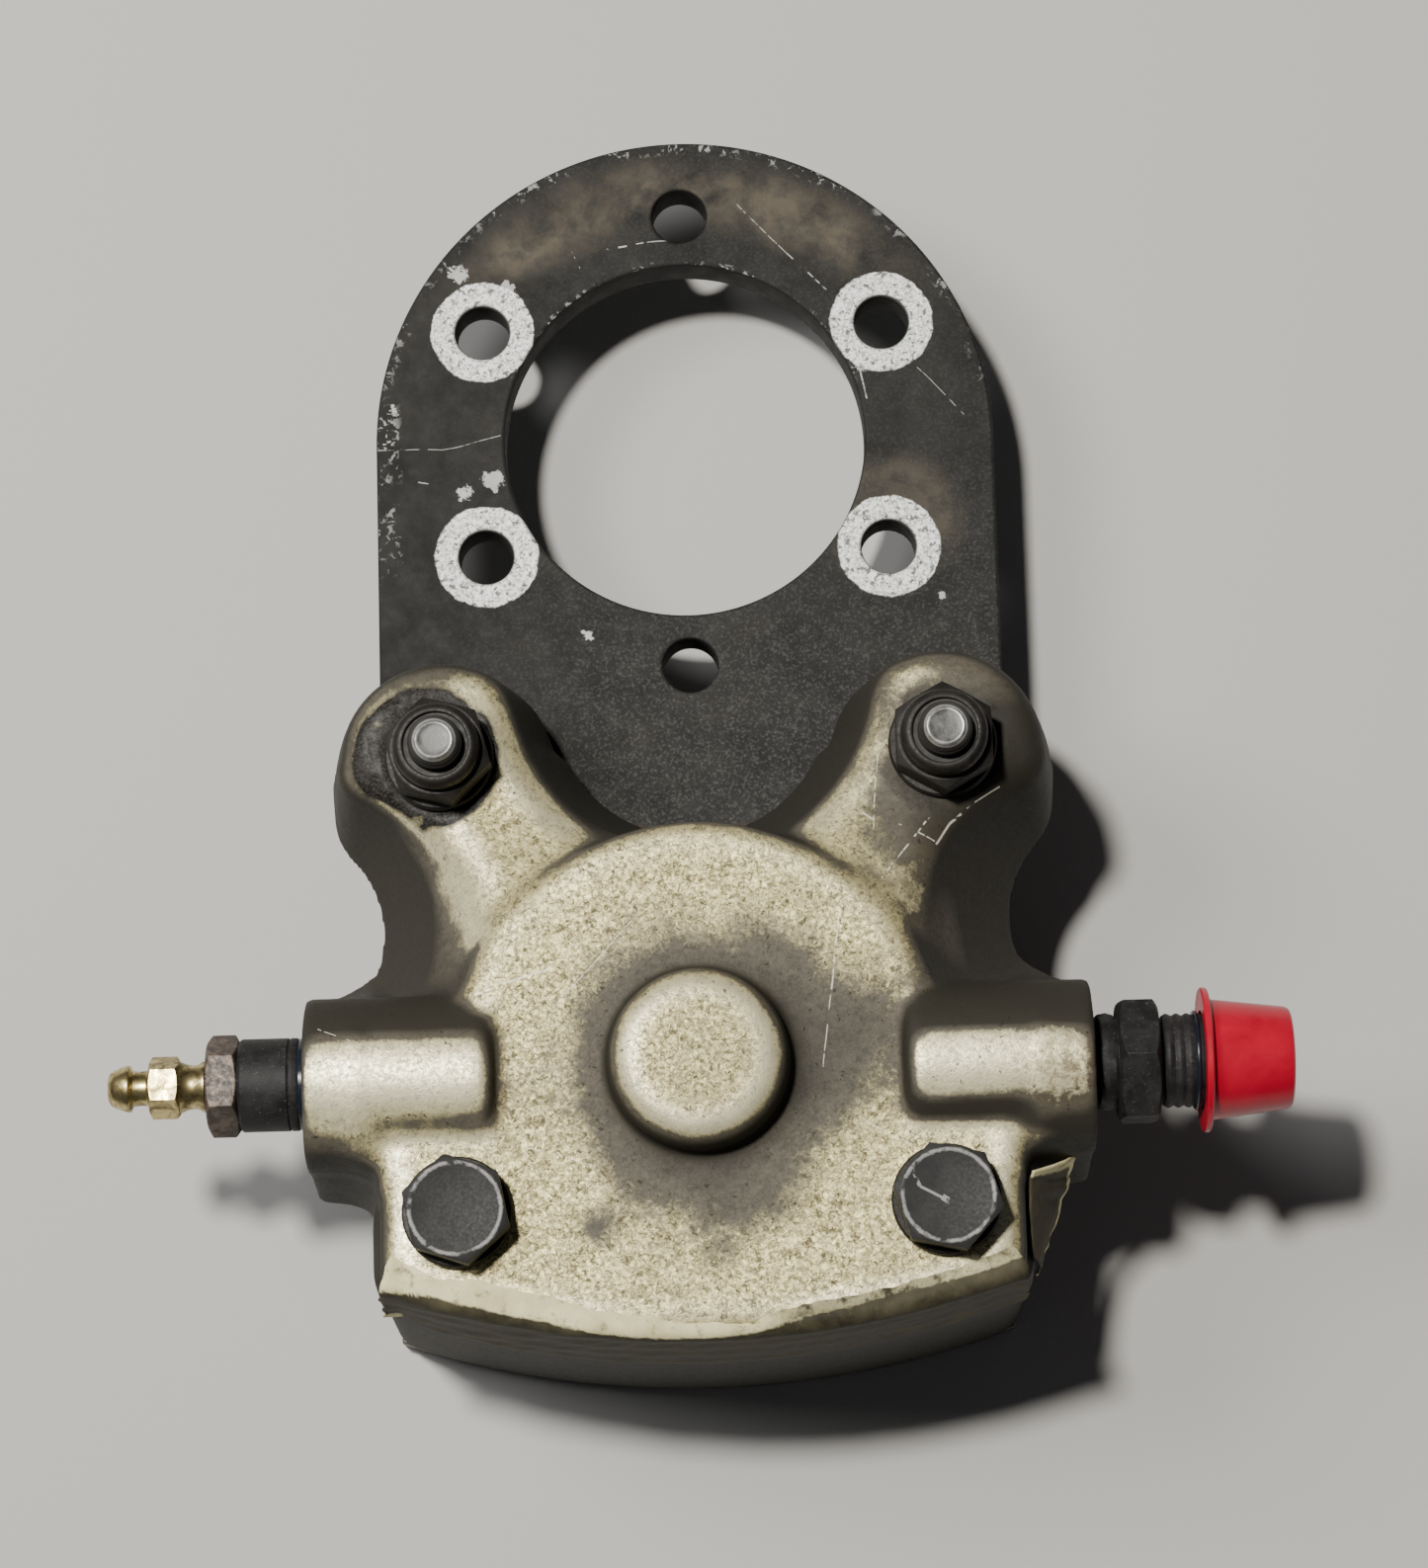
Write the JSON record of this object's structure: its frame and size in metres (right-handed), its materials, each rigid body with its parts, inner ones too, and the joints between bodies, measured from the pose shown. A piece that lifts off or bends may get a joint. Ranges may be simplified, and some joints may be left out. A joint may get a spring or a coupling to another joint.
{
  "type": "disc brake caliper",
  "caption": "Single-piston floating disc brake caliper that slides on two anchor pins in a round-ended torque plate, with bleeder and capped inlet.",
  "frame": {"origin": "centre of the axle bore at the torque plate's back face", "axes": "+Z along the axle bore, from the plate's back face towards the cylinder; +Y away from the cylinder; +X towards the inlet fitting"},
  "size_m": [0.137, 0.1538, 0.0554],
  "materials": {
    "plate_paint": "worn matt dark paint",
    "bushing_bronze": "plain bearing bronze",
    "aged_casting": "aged sand-cast metal with a warm, grimy film",
    "piston_metal": "anodised and ground",
    "seal_rubber": "smooth rubber",
    "insulator_board": "laminated heat insulator",
    "pin_steel": "ground and plated",
    "oiled_steel": "dark, oily plated steel",
    "nut_nylon": "oil-darkened nylon",
    "pad_plate_steel": "plain steel with brake dust",
    "friction_lining": "moulded friction material",
    "rivet_brass": "tubular brass",
    "bolt_steel": "dark plated steel, worn at the edges",
    "black_fitting": "black oxide with thread sealant",
    "rusty_steel": "plated steel gone brown",
    "bleeder_brass": "yellow passivated",
    "red_plastic": "soft glossy plastic",
    "old_tape": "aged crepe masking tape"
  },
  "bodies": {
    "torque_mount": {"torque_plate": "plate_paint", "anchor_bushing_left": "bushing_bronze", "anchor_bushing_right": "bushing_bronze"},
    "caliper": {"cylinder_casting": "aged_casting", "anchor_pin_left": "pin_steel", "anchor_pin_right": "pin_steel", "anchor_washer_left": "oiled_steel", "anchor_washer_right": "oiled_steel", "anchor_nut_left": "oiled_steel", "anchor_nut_right": "oiled_steel", "nut_insert_left": "nut_nylon", "nut_insert_right": "nut_nylon", "back_plate": "pad_plate_steel", "back_lining": "friction_lining", "back_rivets": "rivet_brass", "back_bolt_left": "bolt_steel", "back_bolt_right": "bolt_steel", "bolt_washer_left": "oiled_steel", "bolt_washer_right": "oiled_steel", "port_seal_ring": "seal_rubber", "bleeder_adapter": "black_fitting", "bleeder_jam_nut": "rusty_steel", "inlet_fitting": "black_fitting", "inlet_seal_ring": "seal_rubber", "edge_tape": "old_tape", "tape_flap": "old_tape"},
    "piston_group": {"piston": "piston_metal", "piston_o_ring": "seal_rubber", "piston_insulator": "insulator_board"},
    "pressure_pad": {"pressure_plate": "pad_plate_steel", "pressure_lining": "friction_lining", "pressure_rivets": "rivet_brass"},
    "bleeder": {"bleeder_screw": "bleeder_brass"},
    "cap": {"dust_cap": "red_plastic"}
  },
  "joints": [
    {"name": "caliper_slide", "type": "slide", "parent": "torque_mount", "child": "caliper", "axis": [0, 0, 1], "range_m": [-0.0004, 0.004]},
    {"name": "pad_press", "type": "slide", "parent": "caliper", "child": "pressure_pad", "axis": [0, 0, -1], "range_m": [0, 0.003]},
    {"name": "piston_stroke", "type": "slide", "parent": "caliper", "child": "piston_group", "axis": [0, 0, -1], "range_m": [0, 0.003]},
    {"name": "bleeder_turn", "type": "hinge", "parent": "caliper", "child": "bleeder", "pos_m": [-0.0554, -0.0818, 0.0289], "axis": [-1, 0, 0], "range_deg": [0, 180]},
    {"name": "cap_pull", "type": "slide", "parent": "caliper", "child": "cap", "axis": [1, 0, 0], "range_m": [0, 0.02]}
  ],
  "couplings": [
    {"joint": "piston_stroke", "follows": "pad_press", "ratio": 1}
  ]
}
